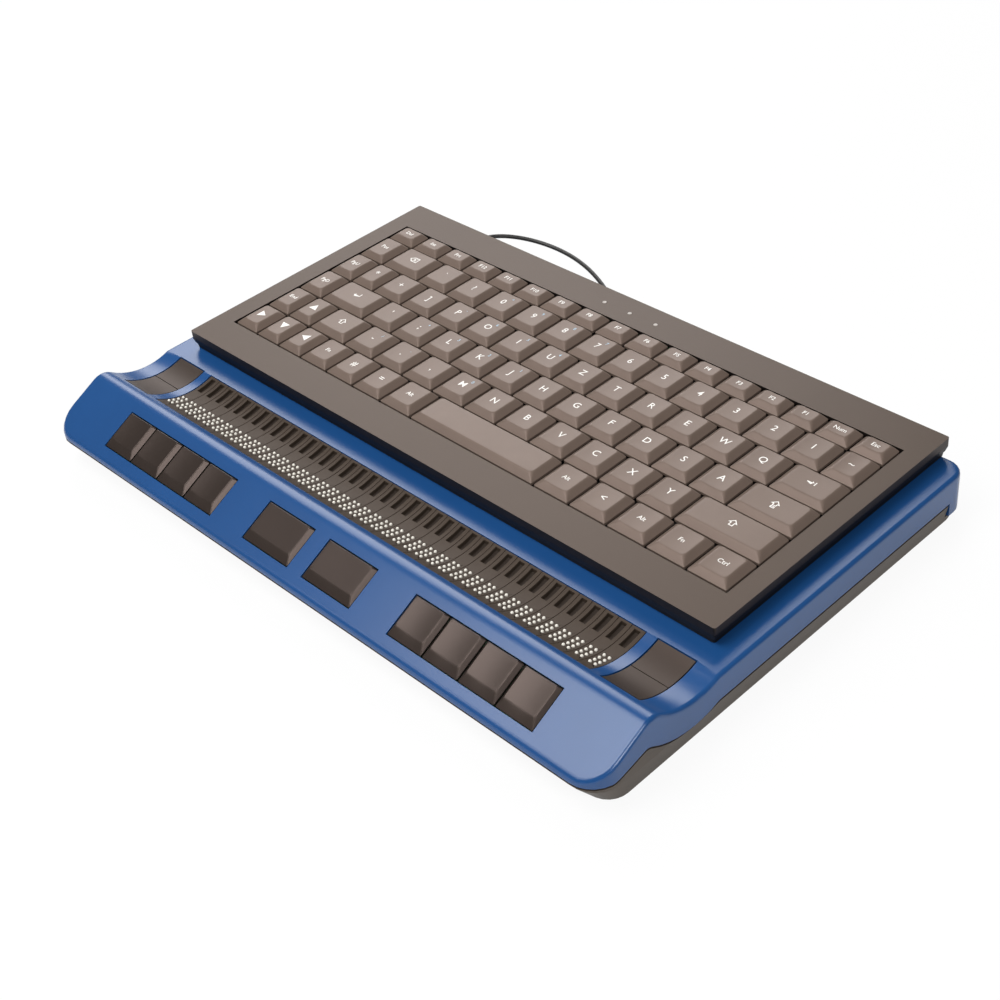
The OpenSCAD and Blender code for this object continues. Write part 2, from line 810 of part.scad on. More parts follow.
function is_single(at) = len([for (s = single_keys) if (s == at) s]) > 0;
cap_z = kb_top - cap_sink;
wide_key = 1.9;
module one_key(at) {
    w = key_units_at(at) * key_pitch - key_gap;
    d = row_depth(at[0]) - key_gap;
    color("#4f4842")
        translate([key_x(at), key_y(at), cap_z])
            keycap(w, d, cap_h, key_taper, key_travel, key_units_at(at) < wide_key);
}
module key_row(r) {
    for (i = [0 : len(key_rows[r]) - 1])
        if (!is_single([r, i]))
            one_key([r, i]);
}
module dome_sheet() {
    sheet_z = plate_z + plate_t;
    color("#1a1817") {
        translate([0, kb_well_mid, sheet_z])
            linear_extrude(sheet_t)
                square([kb_well_w, kb_well_d], center = true);
        for (r = [0 : fn_row], i = [0 : len(key_rows[r]) - 1])
            translate([key_x([r, i]), key_y([r, i]), sheet_z])
                cylinder(r = guide_r, h = cap_z + guide_in - sheet_z);
    }
}
controller_w = 72;
controller_d = 8;
controller_t = 1.6;
module controller_board() {
    color("darkgreen")
        translate([-controller_w / 2, kb_well_y + kb_well_d + plate_rim + seat_gap, plate_z])
            cube([controller_w, controller_d, controller_t]);
}
lens_flange = 0.6;
lens_rise = 0.1;
module indicator_lenses() {
    color("ivory")
        for (x = lens_xs)
            translate([x, lens_y, kb_top - kb_skin]) {
                cylinder(r = lens_r, h = kb_skin + lens_rise);
                translate([0, 0, -lens_flange])
                    cylinder(r = lens_r + lens_flange, h = lens_flange);
            }
}
pad_w = 34;
pad_d = 9;
pad_r = 3;
pad_x = kb_w / 2 - pad_w;
pad_y = kb_d / 2 - 2 * pad_d;
module keyboard_feet() {
    color("#161616")
        for (x = [-1, 1], y = [-1, 1])
            translate([kb_shift + x * pad_x, kb_mid + y * pad_y, foot_h + deck_h])
                linear_extrude(pad_h)
                    rounded_rect(pad_w, pad_d, pad_r);
}

// Lead from the keyboard's rear to its socket in the housing's rear wall: two curves in one sweep
plug_w = 18;
plug_d = 11.4;
plug_h = 9;
plug_r = 2;
plug_reach = 10;
relief_tip = 0.1;
collar_w = 4;
collar_d = 2;
lead_exit = [lead_x, kb_y1, kb_z + relief_up];
lead_end = [lead_port_x - plug_w / 2, rear + plug_d / 2 + slide_gap, foot_h + port_z];
lead_far = lead_exit + [33.5, 23.6, -6];
lead_out = [lead_exit, lead_exit + [0, 10.5, 0], lead_far - [19.8, 0, -1.5], lead_far];
lead_in = [lead_far, lead_far + [27, 0, -2], lead_end - [9, -3, -2], lead_end];
lead_n = 10;
function bezier(b, t) = pow(1 - t, 3) * b[0] + 3 * t * pow(1 - t, 2) * b[1]
    + 3 * t * t * (1 - t) * b[2] + pow(t, 3) * b[3];
cord_route = concat(
    [for (i = [0 : lead_n]) bezier(lead_out, i / lead_n)],
    [for (i = [1 : lead_n]) bezier(lead_in, i / lead_n)]);
cord_sides = 8;
cord_last = len(cord_route) - 1;
function unit(v) = v / norm(v);
function cord_way(i) = i == 0 ? [0, 1, 0] : i == cord_last ? [1, 0, 0] :
    unit(cord_route[i + 1] - cord_route[i - 1]);
function cord_ring(i) =
    let (side = unit(cross(cord_way(i), [0, 0, 1])))
    let (up = cross(side, cord_way(i)))
    [for (k = [0 : cord_sides - 1])
        let (a = 360 * k / cord_sides)
        cord_route[i] + cord_d / 2 * (cos(a) * side + sin(a) * up)];
module strain_relief() {
    color("#1a1a1a")
        translate([lead_x, kb_y1 - kb_inset, kb_z]) {
            translate([0, -collar_d / 2, relief_up])
                rotate([-90, 0, 0])
                    cylinder(r1 = relief_r, r2 = cord_d / 2 + relief_tip, h = kb_inset + collar_d / 2);
            translate([-collar_w / 2, -collar_d, kb_floor])
                cube([collar_w, collar_d, kb_h - kb_frame_h - kb_floor]);
        }
}
module keyboard_cable() {
    n = cord_sides;
    color("#2a2826")
        polyhedron(
            points = [for (i = [0 : cord_last]) each cord_ring(i)],
            faces = concat(
                [[for (k = [n - 1 : -1 : 0]) k], [for (k = [0 : n - 1]) cord_last * n + k]],
                [for (i = [0 : cord_last - 1]) for (k = [0 : n - 1])
                    [i * n + k, i * n + (k + 1) % n, (i + 1) * n + (k + 1) % n]],
                [for (i = [0 : cord_last - 1]) for (k = [0 : n - 1])
                    [i * n + k, (i + 1) * n + (k + 1) % n, (i + 1) * n + k]]));
}
module cable_plug() {
    color("#222222")
        translate([lead_port_x, rear + slide_gap, foot_h + port_z]) {
            translate([0, plug_d / 2, -plug_h / 2])
                linear_extrude(plug_h)
                    rounded_rect(plug_w, plug_d, plug_r);
            translate([-port_w / 2 + seat_gap, -plug_reach, -port_h / 2 + seat_gap])
                cube([port_w - 2 * seat_gap, plug_reach + 1, port_h - 2 * seat_gap]);
        }
}

upper_shell();
lower_shell();
case_screws();
rubber_feet();
main_board();
battery_pack();
cell_backplane();
braille_cells();
piezo_reeds();
routing_keys();
for (n = [1 : 8])
    dot_pins(n);
rocker(-1);  // rocker_left
rocker(1);  // rocker_right
rocker_brackets();
for (n = [1 : 8])
    braille_key(n);
space_key(-1);  // space_key_left
space_key(1);  // space_key_right
key_contact_board();
key_switches();
usb_socket();
keyboard_socket();
keyboard_frame();
keyboard_base();
keyboard_plate();
dome_sheet();
controller_board();
indicator_lenses();
keyboard_feet();
key_row(0);  // bottom_row_keys
key_row(1);  // lower_letter_keys
key_row(2);  // home_letter_keys
key_row(3);  // upper_letter_keys
key_row(number_row);  // number_keys
key_row(fn_row);  // function_keys
one_key(space_at);  // space_bar
one_key(narrow_shift_at);  // narrow_shift_key
one_key(wide_shift_at);  // wide_shift_key
one_key(enter_at);  // enter_key
one_key(caps_at);  // caps_key
one_key(tab_at);  // tab_key
one_key(backspace_at);  // backspace_key
strain_relief();
keyboard_cable();
cable_plug();
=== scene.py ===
import math

import bmesh
import bpy
from mathutils import Matrix, Vector


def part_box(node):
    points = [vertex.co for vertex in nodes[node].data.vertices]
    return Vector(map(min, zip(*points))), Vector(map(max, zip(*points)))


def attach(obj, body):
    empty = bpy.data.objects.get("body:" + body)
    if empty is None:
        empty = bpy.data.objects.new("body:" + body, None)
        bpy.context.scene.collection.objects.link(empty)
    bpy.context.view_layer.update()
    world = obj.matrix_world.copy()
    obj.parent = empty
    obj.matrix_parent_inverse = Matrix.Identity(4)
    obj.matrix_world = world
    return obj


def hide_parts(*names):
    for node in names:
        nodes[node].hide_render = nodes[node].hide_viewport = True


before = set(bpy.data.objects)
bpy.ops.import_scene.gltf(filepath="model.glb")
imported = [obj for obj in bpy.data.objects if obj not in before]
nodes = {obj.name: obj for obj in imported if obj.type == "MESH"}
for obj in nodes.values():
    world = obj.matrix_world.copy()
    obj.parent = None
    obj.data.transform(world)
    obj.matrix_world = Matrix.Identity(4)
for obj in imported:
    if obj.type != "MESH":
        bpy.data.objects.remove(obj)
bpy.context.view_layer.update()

# The lower shell is a tub moulded in warm grey ABS, with posts and ribs inside that carry the boards.
# Its outside has the fine matt grain of a spark-eroded mould, and its rim meets the blue shell at a seam.
MM = 0.001


def linear(hex_colour, shade=1.0):
    """Scene-linear colour of an sRGB hex value, made darker or lighter by a factor."""
    coded = [int(hex_colour[i:i + 2], 16) / 255 for i in (1, 3, 5)]
    plain = [c / 12.92 if c <= 0.04045 else ((c + 0.055) / 1.055) ** 2.4 for c in coded]
    return [shade * c for c in plain] + [1.0]


def add(tree, kind, inputs=None, **settings):
    """A node with its settings, whose inputs take values or other nodes' outputs."""
    node = tree.nodes.new(kind)
    for name, value in settings.items():
        setattr(node, name, value)
    for name, value in (inputs or {}).items():
        if isinstance(value, bpy.types.NodeSocket):
            tree.links.new(value, node.inputs[name])
        else:
            node.inputs[name].default_value = value
    return node


def empty_material(name):
    """A named material with no nodes yet."""
    material = bpy.data.materials.new(name)
    material.use_nodes = True
    material.node_tree.nodes.clear()
    return material, material.node_tree


def moulded(name, colour, roughness, grain, depth, cloud=35 * MM, sheen="#ffffff", level=0.5,
            painted_wall_shade=None):
    """Moulded plastic: the colour drifts a little in soft clouds, and the mould leaves an even grain.
    grain and depth are the width and depth of that grain, which is drawn coarser than the real one so
    that it shows. sheen and level are the tint and strength of the gloss. The wall colour, if given, is
    painted shade: upright faces take that dark colour in place of their own, to stand for shade on them."""
    colour_drift = 0.1
    gloss_drift = 0.03
    material, tree = empty_material(name)
    place = add(tree, "ShaderNodeTexCoord").outputs["Object"]
    drift = add(tree, "ShaderNodeTexNoise", {"Vector": place, "Scale": 1 / cloud, "Detail": 4.0})
    tint = add(tree, "ShaderNodeMixRGB", {
        "Fac": drift.outputs["Fac"], "Color1": linear(colour, 1 - colour_drift),
        "Color2": linear(colour, 1 + colour_drift)})
    # Painted shade: upright faces blend to the dark wall colour, which stands in for the shade on them,
    # while faces turned up keep the plastic's colour.
    if painted_wall_shade:
        facing = add(tree, "ShaderNodeTexCoord").outputs["Normal"]
        parts = add(tree, "ShaderNodeSeparateXYZ", {"Vector": facing})
        upward = add(tree, "ShaderNodeMapRange", {
            "Value": parts.outputs["Z"], "From Min": 0.3, "From Max": 0.6})
        tint = add(tree, "ShaderNodeMixRGB", {
            "Fac": upward.outputs["Result"], "Color1": linear(painted_wall_shade), "Color2": tint.outputs["Color"]})
    pits = add(tree, "ShaderNodeTexNoise", {"Vector": place, "Scale": 1 / grain, "Detail": 2.0})
    gloss = add(tree, "ShaderNodeMapRange", {
        "Value": pits.outputs["Fac"], "To Min": roughness - gloss_drift,
        "To Max": roughness + gloss_drift})
    bump = add(tree, "ShaderNodeBump", {"Height": pits.outputs["Fac"], "Distance": depth})
    shader = add(tree, "ShaderNodeBsdfPrincipled", {
        "Base Color": tint.outputs["Color"], "Roughness": gloss.outputs["Result"],
        "Normal": bump.outputs["Normal"], "Specular Tint": linear(sheen), "Specular IOR Level": level})
    add(tree, "ShaderNodeOutputMaterial", {"Surface": shader.outputs["BSDF"]})
    return material


def smooth_shading(angle):
    """Welds a piece's faces and shades them smoothly, but for edges that turn more than the angle."""
    weld = 0.002 * MM
    group = bpy.data.node_groups.new("smooth_shading", "GeometryNodeTree")
    group.interface.new_socket("Geometry", in_out="INPUT", socket_type="NodeSocketGeometry")
    group.interface.new_socket("Geometry", in_out="OUTPUT", socket_type="NodeSocketGeometry")
    piece = add(group, "NodeGroupInput").outputs["Geometry"]
    welded = add(group, "GeometryNodeMergeByDistance", {"Geometry": piece, "Distance": weld})
    turn = add(group, "GeometryNodeInputMeshEdgeAngle").outputs["Unsigned Angle"]
    sharp = add(group, "FunctionNodeCompare", {"A": turn, "B": angle}, operation="GREATER_THAN")
    shaded = add(group, "GeometryNodeSetMeshNormal", {
        "Mesh": welded.outputs["Geometry"], "Remove Custom": True,
        "Edge Sharpness": sharp.outputs["Result"], "Face Sharpness": False}, mode="SHARPNESS")
    add(group, "NodeGroupOutput", {"Geometry": shaded.outputs["Mesh"]})
    return group


SHARP_ANGLE = math.radians(32)
AREA_WEIGHT = 80
shading = smooth_shading(SHARP_ANGLE)


def dress(name, material, rounding=0.0):
    """Gives a frame piece its finish, smooth shading and, where asked, softly rounded edges."""
    piece = nodes[name]
    for slot in piece.material_slots:
        slot.material = material
    piece.modifiers.new("shading", "NODES").node_group = shading
    if rounding:
        bevel = piece.modifiers.new("rounded edges", "BEVEL")
        bevel.width = rounding
        bevel.segments = 3
        bevel.limit_method = "ANGLE"
        bevel.angle_limit = SHARP_ANGLE
        normals = piece.modifiers.new("even normals", "WEIGHTED_NORMAL")
        normals.weight = AREA_WEIGHT
    return piece


grey_housing = moulded("matt_grey_abs", "#4a4036", roughness=0.5, grain=0.7 * MM, depth=0.012 * MM)
dress("lower_shell", grey_housing, rounding=0.5 * MM)

# Four feet of black rubber are glued under the tub, so that the notetaker stays put while it is read.
# Rubber is dull, and the knurled mould leaves it slightly rough.
foot_rubber = moulded("black_rubber", "#1b1a19", roughness=0.8, grain=0.5 * MM, depth=0.03 * MM)
dress("rubber_feet", foot_rubber, rounding=0.3 * MM)


# The boards are glass fibre with green solder mask over copper tracks.
# The main board stands on posts in the rear, the long backplane under the cells, the contact board
# under the braille keys, and the controller board in the keyboard.
def circuit_board():
    """Green solder mask, a little lighter where a copper track runs under it."""
    material, tree = empty_material("green_solder_mask")
    place = add(tree, "ShaderNodeTexCoord").outputs["Object"]
    track_step = 2.54 * MM
    tracks = add(tree, "ShaderNodeTexBrick", {
        "Vector": place, "Scale": 1 / track_step, "Mortar Size": 0.12,
        "Brick Width": 4.0, "Row Height": 1.0,
        "Color1": linear("#14532d"), "Color2": linear("#175c33"), "Mortar": linear("#2f7d49")})
    bump = add(tree, "ShaderNodeBump", {"Height": tracks.outputs["Fac"], "Distance": 0.03 * MM})
    shader = add(tree, "ShaderNodeBsdfPrincipled", {
        "Base Color": tracks.outputs["Color"], "Roughness": 0.35, "Normal": bump.outputs["Normal"]})
    add(tree, "ShaderNodeOutputMaterial", {"Surface": shader.outputs["BSDF"]})
    return material


solder_mask = circuit_board()
for board in ("main_board", "cell_backplane", "key_contact_board", "controller_board"):
    dress(board, solder_mask)


# The battery is a flat pack of cells in blue-grey shrink film, which lies on the tub's floor.
# The film pulls tight over the cells and stays glossy, with shallow wrinkles.
def shrink_film():
    """Glossy film with long shallow wrinkles."""
    material, tree = empty_material("shrink_film")
    place = add(tree, "ShaderNodeTexCoord").outputs["Object"]
    wrinkle = 6 * MM
    folds = add(tree, "ShaderNodeTexNoise", {"Vector": place, "Scale": 1 / wrinkle, "Distortion": 1.5})
    tint = add(tree, "ShaderNodeMixRGB", {
        "Fac": folds.outputs["Fac"], "Color1": linear("#323845"), "Color2": linear("#434b5b")})
    bump = add(tree, "ShaderNodeBump", {"Height": folds.outputs["Fac"], "Distance": 0.2 * MM})
    shader = add(tree, "ShaderNodeBsdfPrincipled", {
        "Base Color": tint.outputs["Color"], "Roughness": 0.25, "Normal": bump.outputs["Normal"]})
    add(tree, "ShaderNodeOutputMaterial", {"Surface": shader.outputs["BSDF"]})
    return material


dress("battery_pack", shrink_film(), rounding=0.8 * MM)


# The two sockets in the rear wall are folded from tinned steel sheet and soldered to the main board.
# The sheet is rolled, so its gloss runs in fine streaks.
def rolled_steel(name, colour, roughness, streak):
    """Bare steel, with streaks along the sheet that are ten times as long as they are wide."""
    material, tree = empty_material(name)
    place = add(tree, "ShaderNodeTexCoord").outputs["Object"]
    along = add(tree, "ShaderNodeMapping", {
        "Vector": place, "Scale": (1 / streak, 0.1 / streak, 1 / streak)})
    streaks = add(tree, "ShaderNodeTexNoise", {
        "Vector": along.outputs["Vector"], "Scale": 1.0, "Detail": 3.0})
    tint = add(tree, "ShaderNodeMixRGB", {
        "Fac": streaks.outputs["Fac"], "Color1": linear(colour, 0.85), "Color2": linear(colour, 1.1)})
    gloss = add(tree, "ShaderNodeMapRange", {
        "Value": streaks.outputs["Fac"], "To Min": roughness - 0.1, "To Max": roughness + 0.1})
    shader = add(tree, "ShaderNodeBsdfPrincipled", {
        "Base Color": tint.outputs["Color"], "Metallic": 1.0, "Roughness": gloss.outputs["Result"]})
    add(tree, "ShaderNodeOutputMaterial", {"Surface": shader.outputs["BSDF"]})
    return material


tinned_steel = rolled_steel("tinned_steel", "#b9babb", roughness=0.32, streak=0.4 * MM)
for socket in ("usb_socket", "keyboard_socket"):
    dress(socket, tinned_steel, rounding=0.12 * MM)


# The braille cells stand side by side on the backplane, each a dark block with a hollowed top.
# They are moulded in glass-filled plastic, which comes out dull and faintly streaked.
BROWN_SHEEN = "#ffe6dc"
cell_plastic = moulded("glass_filled_plastic", "#40372f", roughness=0.5, grain=0.45 * MM,
                       depth=0.006 * MM, cloud=5 * MM, sheen=BROWN_SHEEN, level=0.2)
dress("braille_cells", cell_plastic, rounding=0.25 * MM)


# Four piezo reeds behind each cell lift its pins: thin ceramic strips, silvered and lacquered brown.
# They are clamped at the rear and bend when a voltage is put across them.
def silvered_ceramic():
    """Silvered ceramic under a thin ochre lacquer, which shows the grit of the ceramic."""
    material, tree = empty_material("silvered_ceramic")
    place = add(tree, "ShaderNodeTexCoord").outputs["Object"]
    grit_width = 0.8 * MM
    grit = add(tree, "ShaderNodeTexNoise", {"Vector": place, "Scale": 1 / grit_width, "Detail": 3.0})
    tint = add(tree, "ShaderNodeMixRGB", {
        "Fac": grit.outputs["Fac"], "Color1": linear("#8a5b30"), "Color2": linear("#a8753f")})
    shader = add(tree, "ShaderNodeBsdfPrincipled", {
        "Base Color": tint.outputs["Color"], "Roughness": 0.5})
    add(tree, "ShaderNodeOutputMaterial", {"Surface": shader.outputs["BSDF"]})
    return material


dress("piezo_reeds", silvered_ceramic())

# The dot pins are white nylon rods with a round tip. Eight slide in the bores of each cell.
# Nylon is slightly waxy, and fingers keep the tips polished.
pin_nylon = moulded("white_nylon", "#e6e2d8", roughness=0.3, grain=0.4 * MM, depth=0.004 * MM,
                    cloud=3 * MM)
for number in range(1, 9):
    nodes["dot_pins_%d" % number].material_slots[0].material = pin_nylon

# A routing key lies deep in a slot behind the dots of each cell, and calls the cursor to that letter.
# It is a tongue of brown acetal that follows the trough, and the slot's wall throws its shadow on it.
routing_acetal = moulded("brown_acetal", "#2b2520", roughness=0.5, grain=0.5 * MM, depth=0.004 * MM,
                         sheen=BROWN_SHEEN, level=0.15)
routing_depth = 1.1 * MM
foot_height = 0.1 * MM
routing_mesh = nodes["routing_keys"].data.copy()
routing_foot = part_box("routing_keys")[0].z + foot_height
for vertex in routing_mesh.vertices:
    if vertex.co.z > routing_foot:
        vertex.co.z -= routing_depth
routing_mesh.materials.clear()
routing_mesh.materials.append(routing_acetal)
routing_tongues = bpy.data.objects.new("routing_tongues", routing_mesh)
bpy.context.scene.collection.objects.link(routing_tongues)
routing_tongues.modifiers.new("shading", "NODES").node_group = shading
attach(routing_tongues, "routing_keys")
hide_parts("routing_keys")

# A hollowed rocker key at each end of the line tips forward and back on a pivot.
# It is the dark brown ABS of the braille keys with a duller grain, and grey brackets hold its pivot.
rocker_abs = moulded("matt_brown_abs", "#312923", roughness=0.48, grain=0.6 * MM, depth=0.006 * MM,
                     cloud=12 * MM, sheen=BROWN_SHEEN)
for side in ("left", "right"):
    dress("rocker_" + side, rocker_abs, rounding=0.25 * MM)
bracket_plastic = moulded("grey_acetal", "#84898e", roughness=0.4, grain=0.6 * MM, depth=0.006 * MM)
dress("rocker_brackets", bracket_plastic, rounding=0.2 * MM)


# Eight dot keys and two space keys sit in wells in the sloping front, each over a switch.
# A key is a hollow tapered cap of brown ABS with a satin grain. Its top is hollowed from side to side,
# its front falls off in a long bevel, and its edges are eased.
def ring(left, right, front, back, radius, z, corner_steps=4, edge_steps=6):
    """Points round a rectangle with rounded corners. Every ring has as many, so that rings join up."""
    arcs = []
    for x, y, start in ((right - radius, front + radius, -90), (right - radius, back - radius, 0),
                        (left + radius, back - radius, 90), (left + radius, front + radius, 180)):
        turns = [math.radians(start + 90 * i / corner_steps) for i in range(corner_steps + 1)]
        arcs.append([Vector((x + radius * math.cos(a), y + radius * math.sin(a), z)) for a in turns])
    points = []
    for arc, following in zip(arcs, arcs[1:] + arcs[:1]):
        points += arc
        points += [arc[-1].lerp(following[0], i / edge_steps) for i in range(1, edge_steps)]
    return points


def skin(mesh, rings, matrix, endless=False):
    """Joins rings to one closed surface, with a face across the first and the last of them,
    or back from the last to the first."""
    loops = [[mesh.verts.new(matrix @ p) for p in points] for points in rings]
    count = len(loops[0])
    if endless:
        loops.append(loops[0])
    else:
        mesh.faces.new(loops[0][::-1])
        mesh.faces.new(loops[-1])
    for near, far in zip(loops, loops[1:]):
        for i in range(count):
            j = (i + 1) % count
            mesh.faces.new((near[i], near[j], far[j], far[i]))


def dish_at(x, half_width, dish):
    """How far the hollow top lies below its edges at a place across the key."""
    return dish * max(0.0, 1 - (x / half_width) ** 2)


def keycap(mesh, size, skirt, taper, corner, edge, dish, roof, matrix):
    """One hollow cap. size is its width, depth and height, skirt the height of its straight foot,
    taper how far its sides, front and back draw in above that, corner and edge the rounding of its top
    seen from above and from the side, and roof the thickness of its top."""
    width, depth, height = size
    side, front, back = taper
    wall = 0.8 * MM
    foot_radius = 0.5 * MM
    waist_radius = 0.6 * foot_radius + 0.4 * corner
    waist = skirt + 0.45 * (height - skirt)

    def level(z, inset, radius):
        rise = max(0.0, z - skirt) / (height - skirt)
        return ring(-width / 2 + inset + side * rise, width / 2 - inset - side * rise,
                    -depth / 2 + inset + front * rise, depth / 2 - inset - back * rise, radius, z)

    inside = [level(height - roof, wall, foot_radius), level(0, wall, foot_radius)]
    foot = [level(0, 0, foot_radius), level(skirt, 0, foot_radius)]
    upper = [level(waist, 0, waist_radius)]
    edge_steps = 4
    for i in range(edge_steps + 1):
        turn = math.radians(90 * i / edge_steps)
        drop = edge * (1 - math.sin(turn))
        inset = 0.8 * edge * (1 - math.cos(turn))
        upper.append(level(height - drop, inset, corner))
    rim = upper[-1]
    middle = sum(rim, Vector()) / len(rim)
    for share in (0.85, 0.6, 0.35, 0.12):
        upper.append([middle.lerp(p, share) for p in rim])
    half = width / 2 - side
    for points in upper:
        for p in points:
            p.z -= dish_at(p.x, half, dish) * (p.z / height) ** 3
    skin(mesh, inside + foot + upper, matrix)


def finish_piece(name, mesh, material, body):
    """Turns a drawn mesh into a piece that rides on a body, smooth but for its sharp edges."""
    data = bpy.data.meshes.new(name)
    mesh.to_mesh(data)
    mesh.free()
    data.set_sharp_from_angle(angle=SHARP_ANGLE)
    data.materials.append(material)
    piece = bpy.data.objects.new(name, data)
    bpy.context.scene.collection.objects.link(piece)
    normals = piece.modifiers.new("even normals", "WEIGHTED_NORMAL")
    normals.weight = AREA_WEIGHT
    normals.keep_sharp = True
    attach(piece, body)
    return piece


key_abs = moulded("brown_grey_abs", "#2a231f", roughness=0.33, grain=0.6 * MM, depth=0.005 * MM,
                  cloud=12 * MM, sheen=BROWN_SHEEN)
slope = math.radians(26.5)
slope_key_depth = 17.8 * MM
slope_key_height = 2.4 * MM
slope_key_skirt = 0.8 * MM
slope_key_taper = (1.5 * MM, 4.2 * MM, 0.4 * MM)
slope_key_corner = 0.6 * MM
slope_key_edge = 0.25 * MM
slope_key_roof = 0.9 * MM
braille_key_dish = 0.3 * MM
space_key_dish = 0.1 * MM
slope_keys = {"braille_key_%d" % number: braille_key_dish for number in range(1, 9)}
slope_keys.update({"space_key_left": space_key_dish, "space_key_right": space_key_dish})
for node, dish in slope_keys.items():
    low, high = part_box(node)
    base = Vector(((low.x + high.x) / 2, low.y + slope_key_depth / 2 * math.cos(slope),
                   low.z + slope_key_depth / 2 * math.sin(slope)))
    seat = Matrix.Translation(base) @ Matrix.Rotation(slope, 4, "X")
    drawn = bmesh.new()
    keycap(drawn, (high.x - low.x, slope_key_depth, slope_key_height), slope_key_skirt, slope_key_taper,
           slope_key_corner, slope_key_edge, dish, slope_key_roof, seat)
    cap = finish_piece(node + "_cap", drawn, key_abs, node)
    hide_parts(node)

# A switch under each of those keys is soldered to the contact board: a block of white acetal with a
# guide post. The caps are low, so the posts are short enough to leave them their full way down.
switch_plastic = moulded("white_acetal", "#d8d4c8", roughness=0.35, grain=0.6 * MM, depth=0.006 * MM)
post_cut = 1.5 * MM
slope_up = Vector((0, -math.sin(slope), math.cos(slope)))
switch_mesh = nodes["key_switches"].data.copy()
post_top = max(slope_up.dot(vertex.co) for vertex in switch_mesh.vertices)
for vertex in switch_mesh.vertices:
    if slope_up.dot(vertex.co) > post_top - post_cut:
        vertex.co -= slope_up * post_cut
switch_mesh.materials.clear()
switch_mesh.materials.append(switch_plastic)
switches = bpy.data.objects.new("low_switches", switch_mesh)
bpy.context.scene.collection.objects.link(switches)
switches.modifiers.new("shading", "NODES").node_group = shading
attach(switches, "base")
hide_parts("key_switches")

# The upper shell is moulded in deep blue ABS and rolls in a wave over the ridge and through the trough.
# Its satin skin shows the light in long soft bands, and its cut edges are eased.
blue_housing = moulded("satin_blue_abs", "#1b497f", roughness=0.25, grain=0.8 * MM, depth=0.0015 * MM)
dress("upper_shell", blue_housing, rounding=0.35 * MM)

# Six steel screws go up through the tub into bosses of the upper shell and hold the two together.
# They are zinc plated and turned, so the gloss runs round them in fine streaks.
zinc_steel = rolled_steel("zinc_plated_steel", "#a9abad", roughness=0.35, streak=0.3 * MM)
dress("case_screws", zinc_steel, rounding=0.15 * MM)

# The keyboard's lower half is a shallow tray that stands on four rubber pads on the deck.
# It is moulded in black ABS with a dull grain, and a skirt under its rim hides the pads.
tray_abs = moulded("black_abs", "#14110f", roughness=0.5, grain=0.6 * MM, depth=0.010 * MM, level=0.2)
dress("keyboard_base", tray_abs, rounding=0.3 * MM)
dress("keyboard_feet", foot_rubber, rounding=0.3 * MM)
tray_low, tray_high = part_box("keyboard_base")
skirt_gap = 0.3 * MM
skirt_inset = 1.0 * MM
skirt_wall = 1.4 * MM
skirt_draft = 0.3 * MM
skirt_corner = 1.2 * MM
skirt_overlap = 0.2 * MM
skirt_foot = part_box("keyboard_feet")[0].z + skirt_gap
skirt_top = tray_low.z + skirt_overlap


def skirt_ring(inset, z):
    """The outline of the tray's skirt at a height, drawn in by an inset."""
    return ring(tray_low.x + inset, tray_high.x - inset, tray_low.y + inset, tray_high.y - inset,
                skirt_corner, z)


drawn = bmesh.new()
skin(drawn, [skirt_ring(skirt_inset + skirt_wall, skirt_top),
             skirt_ring(skirt_inset + skirt_wall, skirt_foot),
             skirt_ring(skirt_inset + skirt_draft, skirt_foot),
             skirt_ring(skirt_inset, skirt_top)], Matrix(), endless=True)
finish_piece("keyboard_skirt", drawn, tray_abs, "base")

# A steel plate in the tray carries a sheet of silicone rubber with a dome and a guide post for each key.
# The plate is tinned and streaked by the rolls, and the rubber is dull and nearly black.
dress("keyboard_plate", tinned_steel)
dome_rubber = moulded("charcoal_silicone", "#1a1817", roughness=0.6, grain=0.8 * MM, depth=0.010 * MM)
dress("dome_sheet", dome_rubber)

# The keycaps are hollow moulded ABS, satin and a little lighter than the case, with a shallow dish.
# Those of a row that are alike share a body. They are pressed onto the guide posts of the domes.
keycap_abs = moulded("satin_keycap_abs", "#695b52", roughness=0.4, grain=0.5 * MM, depth=0.004 * MM,
                     cloud=9 * MM, sheen=BROWN_SHEEN, level=0.45)
cap_height = 3.4 * MM
cap_skirt = 1.1 * MM
cap_gap = 0.5 * MM
cap_roof = 0.7 * MM
cap_taper = (2.7 * MM, 2.9 * MM, 1.3 * MM)
cap_corner = 1.6 * MM
cap_edge = 0.5 * MM
cap_dish = 0.25 * MM
dished_width = 36 * MM


def caps_in(node):
    """Foot and size of each cap of a frame piece: its caps lie in one row with gaps between them."""
    low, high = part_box(node)
    points = nodes[node].data.vertices
    faces = sorted(
        (min(points[i].co.x for i in face.vertices), max(points[i].co.x for i in face.vertices))
        for face in nodes[node].data.polygons)
    spans = []
    for left, right in faces:
        if spans and left <= spans[-1][1]:
            spans[-1][1] = max(spans[-1][1], right)
        else:
            spans.append([left, right])
    y = (low.y + high.y) / 2
    return [(Vector(((left + right) / 2, y, low.z)), right - left, high.y - low.y)
            for left, right in spans]


def dish_of(width):
    """Wide keys have a plain top."""
    return cap_dish if width < dished_width else 0.0


key_rows = ["bottom_row_keys", "lower_letter_keys", "home_letter_keys", "upper_letter_keys",
            "number_keys", "function_keys"]
single_keys = ["space_bar", "narrow_shift_key", "wide_shift_key", "enter_key", "caps_key", "tab_key",
               "backspace_key"]
for node in key_rows + single_keys:
    drawn = bmesh.new()
    for foot, width, depth in caps_in(node):
        keycap(drawn, (width - cap_gap, depth - cap_gap, cap_height), cap_skirt, cap_taper, cap_corner,
               cap_edge, dish_of(width), cap_roof, Matrix.Translation(foot))
    caps = finish_piece(node + "_caps", drawn, keycap_abs, node)
    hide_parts(node)


